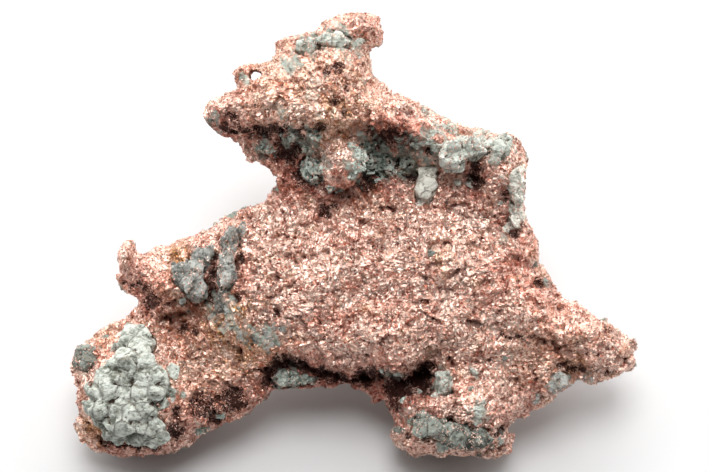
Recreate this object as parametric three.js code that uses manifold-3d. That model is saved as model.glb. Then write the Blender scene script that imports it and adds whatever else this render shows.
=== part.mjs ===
// Native copper nugget: a thick, knobbly plate of natural copper with lumps of pale host rock still gripped
// in it. It leans back on two front feet and a rear heel. Everything is modelled in the frame of its broad
// face (u to the right, v up the face, w out of the face), and the nugget is then laid back onto the ground.
// Millimetres throughout.
import * as THREE from "three";
import { ImprovedNoise } from "three/addons/math/ImprovedNoise.js";
import { mergeVertices } from "three/addons/utils/BufferGeometryUtils.js";
import Module from "manifold-3d";

const wasm = await Module();
wasm.setup();

const FACE_LEAN_DEG = 30; // how far the broad face leans back from level
const FACE_ORIGIN_HEIGHT = 26.6; // height of the face frame's origin above the ground
const FACE_ORIGIN_BACK = 0.6; // how far behind the middle of the nugget's footprint that origin stands
const SHEET_PITCH = 3; // spacing of the points that carry the relief of the plate
const EDGE_ROUNDING = 8; // how far in from the outline the plate reaches its full thickness
const SOCKET_GAP = 0.3; // clearance between a lump of rock and the copper that grips it

// The plate's outline on its broad face, anticlockwise from the tip of the cap: [u, v].
const OUTLINE = [
  [-6.6, 39.5], [-6.7, 37.5], [-10, 37.3], [-12.3, 36.5], [-14.3, 35.8], [-14.3, 34.1], [-15, 32.2],
  [-16.4, 31.8], [-19.5, 32], [-21.9, 31.5], [-22.4, 29.7], [-21.9, 27.8], [-22.6, 25.8],
  [-26.2, 25.6], [-27.4, 24], [-27.5, 21.8], [-26.2, 20], [-24.6, 18.6], [-22.9, 18.7], [-21, 16.4],
  [-19.9, 14.8], [-17.9, 14.5], [-14.6, 11.6], [-14.2, 8.3], [-16.5, 6.4], [-21.2, 4.4], [-24.7, 3],
  [-27.5, 1.2], [-30, -0.2], [-33.6, -0.4], [-34.6, -2.2], [-37, -2.1], [-39.1, -3.8], [-40.7, -2.8],
  [-41, -0.7], [-42.9, -0.7], [-43.8, -4], [-43.5, -7.2], [-44.2, -8.6], [-42.8, -10.2],
  [-40.1, -10.9], [-39.8, -12.4], [-41, -14.2], [-42.8, -15.8], [-45.1, -16.5], [-47, -17.2],
  [-48.8, -19.6], [-51.1, -20.3], [-52.4, -21.4], [-52.4, -24.2], [-51.5, -28], [-51.2, -34],
  [-50.8, -38], [-49, -39.8], [-45.4, -41], [-40.5, -41], [-36, -40], [-33, -39.7], [-30.8, -38.9],
  [-28.5, -36.9], [-24, -34.6], [-19.4, -32.8], [-16.6, -30.4], [-15.2, -28.6], [-11.5, -28.6],
  [-7.5, -27.9], [-1, -27.5], [1.8, -29.2], [3.8, -31.2], [6.2, -29.9], [6.3, -32.2], [8.2, -35],
  [6.6, -36.8], [7.6, -38.6], [10.8, -40.6], [16, -41], [21, -40.8], [26, -41.4], [29.3, -40.4],
  [29.6, -38.2], [28.4, -36.4], [30.5, -33.4], [35, -31.9], [38, -29.4], [41, -26.7], [43.5, -27.4],
  [46.5, -27.1], [50, -25.7], [51.8, -24.8], [52.5, -22.2], [52.3, -20], [49.3, -17.6], [45.6, -15.4],
  [42.4, -13.8], [42, -12.6], [37.6, -12.4], [38.4, -10.8], [38.2, -9.4], [35.3, -6.8], [34, -3.9],
  [34.6, -2.1], [33.1, 1.2], [31.5, 4.5], [31.5, 8.5], [32, 12.6], [31.9, 15.6], [30, 17.8],
  [26.4, 19.3], [22, 19.9], [18.2, 21], [14.6, 22.9], [10, 25.7], [6, 27.3], [3.3, 29.4], [2.8, 33],
  [2.5, 35.4], [5.2, 35.6], [5.3, 38.5], [4.6, 40.2], [2.5, 41.2], [-1, 41.4], [-3.5, 40.7],
];

// Rises on the broad face: [u, v, half width, half height, turn in degrees, rise].
const FACE_RISES = [
  [9, -12, 34, 19, 0, 3.4], // belly of the plate
  [2, -18, 16, 7, 5, 4.6], // its lower brow
  [-16, -12, 15, 13, 0, 3.2], // its left side
  [34, -14, 19, 6, -24, 3.6], // ridge running out to the tail
  [-8, 25.5, 18, 11.5, 0, 9.5], // upper lobe
  [-21, 23, 8, 5, 0, 8], // its nose
  [8, 21.5, 13, 5.6, -24, 8.6], // arm running down to the shoulder
  [20, 16, 13, 4.6, -12, 6], // shoulder
  [28, 11, 6, 9, 0, 4.4], // corner of the shoulder
  [-41, -30, 13, 13, 0, 5.6], // left foot
  [-32, -35.5, 13, 6, 12, 3.4], // roll along its lower edge
  [-35, -8, 9, 6.5, 0, 2.6], // block under the horn
  [20, -32.5, 14, 8, 10, 4.6], // middle foot
  [17, -37, 12, 5, 0, 5.2], // its toe
  [0, 38, 8, 5, 0, 4], // cap
];

// Hollows on the broad face, laid out in the same way, with a depth in place of the rise.
const FACE_HOLLOWS = [
  [5, 12.6, 15, 4, -4, 4.6], // cleft under the upper lobe
  [12.8, -26.2, 3.2, 3.6, 0, 7], // pocket above the middle foot
  [-11.5, -26.6, 7, 3.8, 0, 6], // undercut below the brow, on its left
  [4.2, -27.6, 6, 3.2, 0, 5.5], // and on its right
  [-31, -15, 10, 3, 20, 2.4], // valley beside the left foot
];

// Rises on the back.
const BACK_RISES = [
  [0, -8, 32, 18, 0, 4],
  [-8, 22, 17, 13, 0, 4],
  [-40, -28, 14, 12, 0, 4],
  [18, -30, 15, 10, 0, 4],
  [40, -20, 12, 7, -14, 1.5],
  [8, 4, 24, 15, 0, 13], // root of the heel
];

// Lumps of host rock gripped in the copper, each a cluster of knobs:
// [u, v, half width, half height, half depth, turn].
const FACE_ROCKS = {
  rock_crust_left_foot: [
    [-40.3, -20.4, 3.8, 4.2, 3.6, 10],
    [-40.2, -23.4, 3.8, 3.8, 3.8, 0],
    [-38, -27.2, 4.4, 4.4, 3.4, 0],
    [-43.6, -28, 4.4, 4.4, 3.4, -20],
    [-45.6, -31, 3.8, 3.4, 3.4, 0],
    [-41, -32.4, 5.4, 3.8, 3.4, 10],
    [-37.6, -35.4, 4, 3.6, 3.2, -10],
    [-43, -35, 3.8, 3.2, 3, 0],
  ],
  rock_lump_left_edge: [[-49.6, -22.8, 2.3, 2.8, 2.8, 0]],
  rock_block_left: [
    [-30.4, -7.4, 3.3, 3.3, 3, 0],
    [-28.2, -4.4, 2.4, 2.8, 2.8, 0],
    [-28.8, -10.2, 2.4, 2.2, 2.8, 25],
  ],
  rock_rib_left: [
    [-22.8, -1.4, 1.8, 3.8, 3, -10],
    [-23.5, -6.8, 2, 3.8, 3, 0],
  ],
  rock_vein_cleft: [
    [4.8, 13.2, 4.4, 2.9, 3.6, 0],
    [9.2, 13.8, 2.9, 2.5, 3.4, 10],
  ],
  rock_vein_neck: [[-7.6, 12, 2.4, 3.1, 3.2, 20]],
  rock_tongue: [
    [14.1, 11.4, 1.7, 2, 3.4, 0],
    [13.2, 8.6, 2.2, 3.4, 3.4, -8],
  ],
  rock_crust_shoulder: [
    [18.1, 14.6, 2.7, 3.2, 3.2, 0],
    [21, 15.9, 3.6, 2.8, 3.8, -10],
    [26.2, 16, 3, 2.4, 3, -10],
  ],
  rock_column_flank: [
    [29.7, 9.2, 1.9, 3.8, 3.2, 0],
    [29.8, 3.8, 1.9, 3.4, 3.2, 0],
  ],
  rock_smear_cap: [
    [-8.4, 34.8, 2.9, 1.8, 2.4, 15],
    [-3.4, 35.7, 3.6, 1.8, 2.4, 0],
  ],
  rock_toe: [
    [14, -34.8, 3.8, 2.7, 3.4, -20],
    [18.4, -36.6, 4.2, 2.9, 3.4, 0],
    [22.2, -37.2, 3.4, 2.4, 3, 0],
  ],
  rock_patch_middle_foot: [[16.6, -27.2, 2.2, 2.7, 2.8, 0]],
  rock_lump_lower_edge: [
    [-12.4, -26.4, 3.2, 2.1, 2.8, 0],
    [-8.9, -26.2, 2.9, 1.9, 2.6, 0],
  ],
  rock_grains_right: [[37.6, -27, 2.6, 1.9, 2.6, 25]],
};
const BACK_ROCKS = {
  rock_back_left: [
    [-34, -15, 4.4, 3.6, 3, 20],
    [-29.6, -12.6, 3.8, 3.4, 3, 0],
  ],
  rock_back_upper: [
    [-12, 24, 4.4, 3.4, 3, 0],
    [-7, 27, 3.8, 3, 3, 0],
  ],
  rock_back_tail: [[36, -19, 4, 2.8, 2.8, -14]],
};
const SEAT = 0.9; // how far below the copper's surface the middle of a knob of rock sits
const PLAIN_LUMP_HALF_WIDTH = 4.2; // knobs of rock up to this size are plain twenty-sided blocks

const noise = new ImprovedNoise();
const points = OUTLINE.map(([u, v]) => new THREE.Vector2(u, v));
const edges = points.map((from, i) => [from, points[(i + 1) % points.length]]);

// How far a point of the face lies inside the outline; zero outside it.
function inwardDistance(u, v) {
  let crossings = 0;
  let least = Infinity;
  for (const [from, to] of edges) {
    const du = to.x - from.x;
    const dv = to.y - from.y;
    if (from.y > v !== to.y > v && u < (du * (v - from.y)) / dv + from.x) {
      crossings += 1;
    }
    const along = THREE.MathUtils.clamp(((u - from.x) * du + (v - from.y) * dv) / (du * du + dv * dv), 0, 1);
    least = Math.min(least, Math.hypot(u - from.x - along * du, v - from.y - along * dv));
  }
  return crossings % 2 === 1 ? least : 0;
}

// The plate's rounded edge: 0 on the outline, 1 where the plate is at its full thickness.
function fullness(u, v) {
  const inward = Math.min(inwardDistance(u, v) / EDGE_ROUNDING, 1);
  return Math.sqrt(1 - (1 - inward) ** 2);
}

// How much of a rise or hollow stands at a point: all of it in its middle, none beyond its edge.
function share([u0, v0, halfWidth, halfHeight, turn, amount], u, v) {
  const angle = THREE.MathUtils.degToRad(turn);
  const du = (u - u0) * Math.cos(angle) + (v - v0) * Math.sin(angle);
  const dv = (v - v0) * Math.cos(angle) - (u - u0) * Math.sin(angle);
  return amount * (1 - THREE.MathUtils.smoothstep(Math.hypot(du / halfWidth, dv / halfHeight), 0.4, 1.05));
}

function tallest(rises, u, v) {
  return Math.max(...rises.map((rise) => share(rise, u, v)));
}

// Hackly relief of natural copper, on three scales.
function relief(u, v, layer) {
  const broad = noise.noise(u / 8.7, v / 8.7, layer);
  const middling = noise.noise(u / 4.3, v / 4.3, layer + 5);
  const fine = noise.noise(u / 2.3, v / 2.3, layer + 9);
  return broad + 0.6 * middling + 0.45 * fine;
}

function faceHeight(u, v) {
  const full = fullness(u, v);
  const hollow = FACE_HOLLOWS.reduce((sum, item) => sum + share(item, u, v), 0);
  return 0.9 + full * (5 + tallest(FACE_RISES, u, v) - hollow) + (0.3 + 1.5 * full) * relief(u, v, 0.5);
}

function backHeight(u, v) {
  const full = fullness(u, v);
  return -1.6 - full * (6.5 + tallest(BACK_RISES, u, v)) + (0.3 + 2.2 * full) * relief(u, v, 30.5);
}

function solidOf(geometry) {
  geometry.deleteAttribute("normal");
  geometry.deleteAttribute("uv");
  const merged = mergeVertices(geometry, 1e-4);
  return new wasm.Manifold(
    new wasm.Mesh({
      numProp: 3,
      vertProperties: Float32Array.from(merged.getAttribute("position").array),
      triVerts: Uint32Array.from(merged.index.array),
    }),
  );
}

function joined(solids) {
  return solids.reduce((sum, solid) => sum.add(solid));
}

// An irregular knob: a rounded lump swollen and pinched by the same relief.
function knob([u, v, w], [ru, rv, rw], { turn = 0, rough = 0.16, detail = 2 } = {}) {
  const ball = new THREE.IcosahedronGeometry(1, detail).deleteAttribute("normal").deleteAttribute("uv");
  const lump = mergeVertices(ball);
  const position = lump.getAttribute("position");
  const at = new THREE.Vector3();
  for (let i = 0; i < position.count; i += 1) {
    at.fromBufferAttribute(position, i);
    const swelling = 2 * noise.noise(1.6 * at.x + u, 1.6 * at.y + v, 1.6 * at.z + w);
    at.multiplyScalar(1 + rough * (swelling + noise.noise(3.7 * at.x + v, 3.7 * at.y + w, 3.7 * at.z + u)));
    position.setXYZ(i, at.x, at.y, at.z);
  }
  lump.scale(ru, rv, rw);
  lump.rotateZ(THREE.MathUtils.degToRad(turn));
  lump.translate(u, v, w);
  return solidOf(lump);
}

// The plate: a sheet of points on each side, shifted a little off their grid so that no row of them shows.
const span = new THREE.Box2().setFromPoints(points).expandByScalar(2 * SHEET_PITCH);
const width = span.max.x - span.min.x;
const height = span.max.y - span.min.y;
const columns = Math.round(width / SHEET_PITCH);
const rows = Math.round(height / SHEET_PITCH);
const sheet = new THREE.BoxGeometry(width, height, 1, columns, rows, 1);
sheet.translate(span.min.x + width / 2, span.min.y + height / 2, 0);
const sheetPoint = sheet.getAttribute("position");
for (let i = 0; i < sheetPoint.count; i += 1) {
  const isFace = sheetPoint.getZ(i) > 0;
  const layer = isFace ? 60.5 : 90.5;
  const x = sheetPoint.getX(i);
  const y = sheetPoint.getY(i);
  const u = x + 1.1 * noise.noise(x * 0.41, y * 0.41, layer);
  const v = y + 1.1 * noise.noise(x * 0.41, y * 0.41, layer + 9);
  sheetPoint.setXYZ(i, u, v, isFace ? faceHeight(u, v) : backHeight(u, v));
}
const outline = new THREE.ExtrudeGeometry(new THREE.Shape(points), { depth: 100, bevelEnabled: false });
outline.translate(0, 0, -60);
const plate = solidOf(sheet).intersect(solidOf(outline));

// Knobs that overhang the plate, so they stand as lumps of their own form.
const overhangs = joined([
  knob([-2.2, 13.4, 8.5], [3.7, 4.9, 4.6]), // hanging from the upper lobe into the cleft
  knob([-20, 22.8, 8], [6.6, 4.2, 4.6], { turn: 8 }), // nose
  knob([1.6, 38.3, 4], [3.6, 2.7, 3], { detail: 1 }), // hook of the cap
  knob([-20.2, 29.4, 5], [1.9, 1.9, 2.4], { detail: 1 }), // stub left of the cap
  knob([-42.2, -4.4, 2.6], [1.3, 3.2, 2.2], { detail: 1 }), // horn
  knob([11.8, -36.6, 4.6], [4.2, 3.3, 4.2], { detail: 1 }), // toe
]);

// The heel: a mass behind the neck that carries the rear of the nugget.
const heel = joined([
  knob([4, 3, -18], [14, 11, 10], { detail: 3 }),
  knob([14, 5, -21], [12, 10, 11]),
  knob([8, 2, -26], [10, 8, 9]),
]);

const ground = new THREE.BoxGeometry(200, 200, 100);
ground.translate(0, 0, -50 - FACE_ORIGIN_HEIGHT);
ground.rotateX(THREE.MathUtils.degToRad(-FACE_LEAN_DEG));

// A lump of rock, or with a gap added all round, the socket it sits in.
function rockLump(knobs, depthAt, gap) {
  return joined(
    knobs.map(([u, v, ru, rv, rw, turn]) => {
      const detail = ru > PLAIN_LUMP_HALF_WIDTH ? 1 : 0;
      return knob([u, v, depthAt(u, v)], [ru + gap, rv + gap, rw + gap], { turn, detail });
    }),
  );
}

const rocks = [
  ...Object.entries(FACE_ROCKS).map(([name, knobs]) => [name, knobs, (u, v) => faceHeight(u, v) - SEAT]),
  ...Object.entries(BACK_ROCKS).map(([name, knobs]) => [name, knobs, (u, v) => backHeight(u, v) + SEAT]),
];
const sockets = joined(rocks.map(([, knobs, depthAt]) => rockLump(knobs, depthAt, SOCKET_GAP)));
// A hole through the stub leaves it a small loop.
const loopHole = knob([-18.3, 29.7, 0], [1.4, 1.2, 16], { detail: 1 });
const cutAway = joined([sockets, loopHole, solidOf(ground)]);
const copper = joined([plate, overhangs, heel]).subtract(cutAway);

function meshOf(solid, name, material) {
  const { vertProperties, triVerts } = solid.getMesh();
  const geometry = new THREE.BufferGeometry();
  geometry.setAttribute("position", new THREE.BufferAttribute(Float32Array.from(vertProperties), 3));
  geometry.setIndex(new THREE.BufferAttribute(Uint32Array.from(triVerts), 1));
  const mesh = new THREE.Mesh(geometry, material);
  mesh.name = name;
  return mesh;
}

const copperMetal = new THREE.MeshStandardMaterial({ color: 0xc98f78, metalness: 1, roughness: 0.4 });
const hostRock = new THREE.MeshStandardMaterial({ color: 0xa3b5a8, metalness: 0, roughness: 0.85 });

const nugget = new THREE.Group();
nugget.rotation.x = THREE.MathUtils.degToRad(FACE_LEAN_DEG);
nugget.position.set(0, FACE_ORIGIN_BACK, FACE_ORIGIN_HEIGHT);
nugget.add(meshOf(copper, "copper_mass", copperMetal));
for (const [name, knobs, depthAt] of rocks) {
  nugget.add(meshOf(rockLump(knobs, depthAt, 0), name, hostRock.clone()));
}

export default nugget;
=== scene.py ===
"""A native copper nugget: bright hackly copper, grown as one plate, still gripping lumps of its host rock.

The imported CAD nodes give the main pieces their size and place, and each section gives some their surface.
"""
import math

import bmesh
import bpy
import numpy as np
from mathutils import Matrix, Vector
from mathutils.bvhtree import BVHTree


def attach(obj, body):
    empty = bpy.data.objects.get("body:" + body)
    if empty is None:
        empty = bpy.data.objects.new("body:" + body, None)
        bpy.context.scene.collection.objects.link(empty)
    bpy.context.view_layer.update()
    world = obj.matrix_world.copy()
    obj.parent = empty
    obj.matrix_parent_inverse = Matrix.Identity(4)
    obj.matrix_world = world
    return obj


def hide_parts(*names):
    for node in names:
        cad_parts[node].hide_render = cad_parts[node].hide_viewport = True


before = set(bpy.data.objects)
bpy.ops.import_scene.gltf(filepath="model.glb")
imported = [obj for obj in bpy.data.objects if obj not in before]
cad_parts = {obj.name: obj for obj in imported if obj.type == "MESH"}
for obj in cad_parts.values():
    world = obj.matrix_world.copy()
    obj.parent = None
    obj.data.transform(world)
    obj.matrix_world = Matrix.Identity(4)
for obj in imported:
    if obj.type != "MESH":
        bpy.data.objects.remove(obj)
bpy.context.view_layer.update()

MM = 0.001

# ---------------------------------------------------------------- camera
# The nugget leans back on its heel, and the camera looks square onto its broad face through a long lens.
# Places on that face are given as u to the right, v up the face and w out of it, in millimetres, as in the
# solid model.
FACE_LEAN = math.radians(30)
FACE_ORIGIN = Vector((0, 0.6, 26.6))
LENS_MM = 120
SENSOR_MM = 36
VIEW_WIDTH_MM = 131.4
VIEW_MIDDLE_UVW = (0.0, 0.0, 3.0)
NEAREST_SEEN = 0.01
FARTHEST_SEEN = 20

to_world = Matrix.Rotation(FACE_LEAN, 3, "X")


def world_point(u, v, w):
    return (to_world @ Vector((u, v, w)) + FACE_ORIGIN) * MM


def face_points(mesh):
    """The mesh's points as rows of u, v, w in millimetres."""
    places = np.empty(len(mesh.vertices) * 3)
    mesh.vertices.foreach_get("co", places)
    return (places.reshape(-1, 3) / MM - np.array(FACE_ORIGIN)) @ np.array(to_world)


camera_data = bpy.data.cameras.new("camera")
camera_data.lens = LENS_MM
camera_data.sensor_width = SENSOR_MM
camera_data.clip_start = NEAREST_SEEN
camera_data.clip_end = FARTHEST_SEEN
camera = bpy.data.objects.new("camera", camera_data)
bpy.context.scene.collection.objects.link(camera)
camera_distance = VIEW_WIDTH_MM * LENS_MM / SENSOR_MM
u, v, w = VIEW_MIDDLE_UVW
camera.location = world_point(u, v, w + camera_distance)
camera.rotation_euler = (FACE_LEAN, 0, 0)
bpy.context.scene.camera = camera

# ---------------------------------------------------------------- copper mass
# The copper itself: one plate of natural metal that filled a crack in the rock, later cleaned of most of
# that rock. It is bright, hackly and granular all over, with sharp grains, crevices dark with cuprite and
# painted shade, and striae on the tail.
COPPER_VOXEL = 0.43 * MM
COPPER_THINNING = 0.71  # the share of its triangles that the finished mass keeps
LOOP_HOLE_UV = (-18.3, 29.7)
LOOP_HOLE_RADIUS = 1.2
BARE_BACK_DEPTH = -6  # the marked patches end this far behind the face, in millimetres
PATCH_FADE = 1.6  # a patch fades out at this many times its radius
LEDGE_STEEPNESS = 1.5  # how much deeper a ledge is cut, as the relief fills part of it
# CUPRITE colours the fine cracks, and with CUPRITE_SHADE gives the painted shade in the pits and hollows.
CUPRITE = "5A2014"
CUPRITE_SHADE = "30100A"
# The grains' tones: COPPER_SHADE is painted shade, COPPER_BRIGHT bright copper, COPPER_GLINT a painted glint.
COPPER_SHADE = "B5654C"
COPPER_BRIGHT = "FAD5C5"
COPPER_GLINT = "FFEADB"
# CUPRITE_RED is the film over the cuprite patches, which is partly painted shade.
CUPRITE_RED = "A44E3A"
BROWN_TARNISH = "C8965F"
RED_TARNISH = "DE8C74"
PALE_ROCK = "B9C2B6"
DARK_ROCK = "59605A"

# Deep holes in the face, with painted shade inside: u, v, radius, depth.
PITS = [
    (12.8, -25.6, 2.2, 4), (13.4, -28, 1.5, 3), (1.6, -26.2, 1.7, 3), (8, -28.4, 2, 2.4), (10, -27.4, 2, 3),
    (-12.5, -24.4, 2.2, 2.5), (-10, -25.4, 2.2, 2.5), (-16, -26.6, 1.5, 2), (-22.5, -30.6, 2.6, 1.8),
    (-28, -31, 2.4, 2), (-26, -33.4, 1.6, 1.6), (-32.6, -32.4, 1.2, 1.6), (-33, -36, 1.6, 1.6),
    (-31.8, -17.2, 1, 1.6), (-29.6, -17.8, 0.8, 1.4), (-37.2, -20.9, 1.4, 1.6), (-34.2, -27.4, 1.1, 1.4),
    (-26, -4, 1, 1.8), (-26.1, -7, 1, 2), (-26.2, -9.6, 1.1, 2), (-21.1, -3.6, 0.9, 1.5),
    (-21.3, -11.4, 1, 1.5), (-26.9, -11.6, 1.2, 1.6), (-37.4, -12, 1.8, 1.4), (-14, -14.2, 0.9, 1.3),
    (-18.4, -13.9, 0.8, 1.1), (-5.3, 4.7, 1.3, 1.8), (-3.7, 5.4, 0.8, 1.4), (-12, 16, 2.2, 2.4),
    (-10, 16.6, 1.6, 2.4), (-16, 19, 1.4, 1.4), (-9.2, 11, 1.8, 2), (3.4, 10.6, 1.3, 2),
    (2.4, 9.4, 1.5, 1.6), (4, 16.9, 1.1, 2), (6.2, 18, 2, 2), (9, 16.9, 1.2, 1.8), (10.8, 11.2, 1.4, 1.8),
    (17, 6.5, 0.8, 1.3), (22.2, 10.3, 1.4, 2.4), (22.4, 12.6, 1.2, 2), (13.8, 15.3, 1, 1.6),
    (28, 7.2, 1.1, 2), (29.4, 0.8, 1.3, 2.2), (34.4, -8.8, 1.1, 1.4), (24, 3.2, 0.9, 1),
    (-3.6, 24.7, 1.1, 1.8), (-1.8, 22.2, 0.8, 1.4), (-1.2, 26.6, 0.8, 1.3), (0.4, 27.4, 0.7, 1.1),
    (-2.8, 30.8, 1.1, 1.8), (-4.8, 29.6, 0.9, 1.5), (-22, 21.4, 1.5, 1), (10.2, 22, 1.3, 1.3),
    (13.6, -33.3, 1.2, 1.6), (10, -36.8, 1, 1.6), (26.6, -35.9, 1.1, 1.5), (24.2, -8.6, 1.1, 0.6),
    (-41.4, -33, 0.8, 1.4), (7.4, -31.6, 1, 1.2),
]
# Ledges of the torn plate, steep and with painted shade on their lower side: the two ends u0, v0, u1, v1,
# then width and depth.
LEDGES = [
    (-17.4, -25, -14, -22.4, 2.4, 3), (-14, -22.4, -9, -22.8, 3, 4), (-9, -22.8, -4.8, -25, 2.4, 3),
    (-4.8, -25, -0.4, -27, 2, 2), (0.2, -25.6, 2.4, -23.8, 2.6, 3), (2.4, -23.8, 9.4, -25, 2.4, 3),
    (25.5, -17.8, 33.5, -18.4, 1.7, 1.3), (33.5, -18.4, 39.5, -19.8, 1.5, 1.2),
    (41, -19, 47.5, -19.1, 1.4, 1.1), (34.5, -20.4, 41, -21.2, 1.3, 1), (37.5, -23.4, 43, -24.1, 1.8, 1.6),
    (44.5, -24.2, 48.5, -25, 1.5, 1.3), (29, -22.2, 36, -23.3, 1.1, 0.7), (20, -15.4, 27, -17, 1.2, 0.7),
    (12, -17.6, 19, -18.8, 1.1, 0.5), (-26, 20.2, -20, 19.9, 1.9, 2), (-20, 20.1, -12, 20.3, 2.1, 2.4),
    (-12, 20.3, -5, 20.2, 2, 2.2), (2.6, 20, 11.5, 17.8, 2.2, 1.7), (-5.4, 30.7, -1.8, 31.6, 1.4, 1.5),
    (-17, 24.6, -13, 23.6, 1, 0.8), (17.4, -33.4, 22.5, -36, 1.7, 2), (22.5, -36, 28, -35.3, 1.7, 1.7),
    (26, -28.8, 31.5, -29.1, 1.2, 1), (-47.5, -37.2, -36, -37.9, 1.9, 2.4),
    (-43.6, -8.5, -37.5, -8.9, 1.5, 1.4), (-30, -30.5, -21, -27.9, 2.2, 1.8), (-6, 37.2, 1.6, 37.4, 1, 0.9),
    (-22.8, 26.4, -17.6, 26.4, 1.1, 0.8), (-4, 8.2, 2, 7.4, 1, 0.7),
]
# Where a thin crust of rock is left on the copper: u, v, radius, how much of the surface it hides.
CRUST_PATCHES = [
    (-24.4, -12.6, 2.8, 0.75), (-22.4, -14.2, 2, 0.65), (-26.4, -14.8, 1.6, 0.65), (-23, -16.4, 1.8, 0.75),
    (-20.4, -18, 2, 0.65), (-17.6, -18.6, 2.4, 0.75), (-15.4, -18.6, 2.4, 0.8), (-13.6, -17, 1.4, 0.65),
    (-31, -12.6, 2.4, 0.5), (-8.4, 35.4, 2.4, 0.8), (-3, 36.2, 2.8, 0.8), (0.6, 35.4, 1.6, 0.7),
    (-11.6, 31.2, 2.2, 0.8), (-7.8, 33.2, 1.8, 0.6), (0, 33.4, 1.8, 0.6), (-1, 31.8, 1, 0.6),
    (-6.2, 28, 1.4, 0.65), (-7.6, 25.2, 1.4, 0.6), (-12.8, 22.2, 2, 0.65), (-5.6, 21.6, 1.4, 0.55),
    (2, 28.8, 1.2, 0.6), (-20.4, 28.8, 1.4, 0.75), (-20.2, 26, 1.2, 0.5), (-26.2, 21.6, 1.6, 0.7),
    (-16.4, 16.2, 2.2, 0.7), (-11.4, 18, 2, 0.75), (-8, 17.6, 2.2, 0.75), (-6.6, 13, 2.6, 0.7),
    (-3, 9, 1.6, 0.5), (1, 13, 3, 0.8), (5, 14, 3.4, 0.8), (9.6, 14, 3.4, 0.8), (2, 17, 2.4, 0.8),
    (10, 17.4, 2.4, 0.6), (13.2, 17.8, 2.4, 0.75), (15.4, 19.4, 2, 0.7), (18.4, 19.4, 1.8, 0.65),
    (13, 22.8, 1.6, 0.65), (8.8, 23.4, 1.1, 0.5), (15.4, 14.6, 2.6, 0.75), (19, 16, 3, 0.7),
    (23.4, 17.2, 2.6, 0.7), (27, 16.4, 3, 0.65), (25.6, 13.6, 2, 0.6), (20.6, 10, 1.8, 0.5),
    (21.8, 13.8, 1.2, 0.5), (28, 10.4, 1.6, 0.6), (26.8, 6, 1.8, 0.45), (24, 3.2, 1.4, 0.5),
    (24.2, 8.2, 1.4, 0.4), (14, -3.4, 1.8, 0.5), (33.4, -5.4, 1.4, 0.6), (35.8, -9, 1.6, 0.6),
    (27.4, -0.6, 1.4, 0.6), (27.8, -22.6, 1.8, 0.5), (22.2, -25.2, 1.6, 0.6), (21.4, -28.2, 1.2, 0.4),
    (22.8, -32, 2.2, 0.65), (16.4, -26, 2, 0.6), (15.4, -28.8, 1.8, 0.6), (7, -25.4, 2.2, 0.6),
    (-12, -26.8, 3, 0.7), (-25, -32.8, 1.8, 0.5), (-28.6, -35.6, 1.8, 0.6), (10, -33, 2.4, 0.6),
    (26.8, -37.6, 1.8, 0.5), (34, -30, 1.8, 0.5), (43.4, -26.4, 1.8, 0.6), (41.4, -16.2, 1.6, 0.35),
    (-36.4, -4.4, 1.4, 0.4), (-31.6, -29.2, 1.4, 0.5), (-45.6, -18.6, 1.4, 0.4), (-4.3, 3.2, 1.2, 0.5),
    (-49.4, -22.4, 3, 0.7), (-43, -36.8, 2.6, 0.5), (-5, -9, 3, 0.2), (30, -13, 3, 0.2),
]
# Where the copper is tarnished, golden brown or copper red, or dark with cuprite and painted shade: u, v,
# radius, strength.
BROWN_PATCHES = [
    (-24, -17, 3.4, 0.9), (-21.5, -13.6, 2.4, 0.9), (-19, -21, 4.4, 0.7), (-32.5, -3.6, 2, 1),
    (-29, -16, 6, 0.4), (-15, -22, 4, 0.45), (-3, 22, 4.4, 0.65), (2, 22.5, 3.4, 0.4), (-5.5, 19, 2.4, 0.6),
    (-3, 29, 5, 0.45), (-47.5, -35.6, 2.8, 0.9), (-46, -18, 2.4, 0.4), (16, -3.6, 2, 0.5),
    (2, 7.5, 2.8, 0.6), (-34, -10, 3.4, 0.35), (-26, -25, 7, 0.35), (35, -22, 6, 0.3),
    (41, -24.6, 2.4, 0.7), (20.4, 16.6, 2, 0.5), (-12, 27, 8, 0.35),
]
RED_PATCHES = [
    (-46.5, -22, 2.6, 0.7), (27, -7, 2.4, 0.7), (29.6, -5, 2.4, 0.8), (32, -8, 2.2, 0.7),
    (32, -2.4, 2.6, 0.7), (33, -11.6, 2.2, 0.6), (37, -15.6, 5, 0.35), (-1.4, 11.4, 1.8, 0.8),
    (2.6, 9.6, 1.8, 0.8), (7, 19, 3, 0.7), (-12, 10, 4, 0.6), (1, 38.4, 3, 0.45), (-13, 35.5, 2.4, 0.4),
    (-22, 20.8, 2.4, 0.5), (-38, -11, 3.4, 0.5), (-33, -18, 3, 0.35), (10, 19.4, 2, 0.6), (28, 1.6, 2, 0.4),
    (-21, 30.4, 2, 0.5), (-20, -31, 4, 0.5), (-27, -33, 4, 0.5), (10, -31, 4, 0.5), (5, -29, 3, 0.6),
    (-43, -38.6, 5, 0.5),
]
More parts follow.
